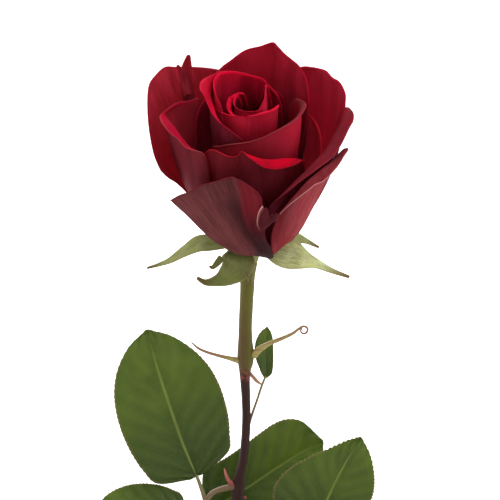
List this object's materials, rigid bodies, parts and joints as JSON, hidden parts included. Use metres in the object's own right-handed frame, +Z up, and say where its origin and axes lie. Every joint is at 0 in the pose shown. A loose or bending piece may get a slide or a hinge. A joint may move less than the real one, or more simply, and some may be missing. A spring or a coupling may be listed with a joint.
{
  "type": "rose in a bud vase",
  "caption": "Half-open cut red rose with sepals, prickly stem and compound leaves, standing in water in a narrow-necked clear glass bud vase.",
  "frame": {"origin": "centre of the vase's foot, on the surface that it stands on", "axes": "+Z up; -Y is the bloom's front, towards which it nods; +X is to the right of someone who looks at that front"},
  "size_m": [0.1208, 0.109, 0.3305],
  "materials": {
    "glass": "clear, smooth",
    "water": "clear liquid",
    "stem": "smooth bark, olive above and purple-brown below",
    "sepal": "soft, slightly downy",
    "petal": "velvety, translucent",
    "heart": "velvety, translucent",
    "leaf": "satin with veins",
    "bract": "satin"
  },
  "bodies": {
    "root": {"vase": "glass", "water": "water", "stem": "stem", "calyx": "sepal", "petal_front_left": "petal", "petal_front_right": "petal", "petal_back_outer": "petal", "petal_left_outer": "petal", "petal_right_back": "petal", "petal_right": "petal", "petal_left": "petal", "petal_right_inner": "petal", "petal_back": "petal", "petal_front": "petal", "petal_back_left_inner": "petal", "petal_back_right_inner": "petal", "petal_inner_right": "petal", "petal_inner_left": "petal", "heart": "heart", "petaloid": "petal", "leaf_left": "leaf", "leaf_right": "leaf", "bract_left": "bract", "bract_right": "bract", "bract_lower": "bract", "leaf_small": "leaf"}
  },
  "joints": []
}
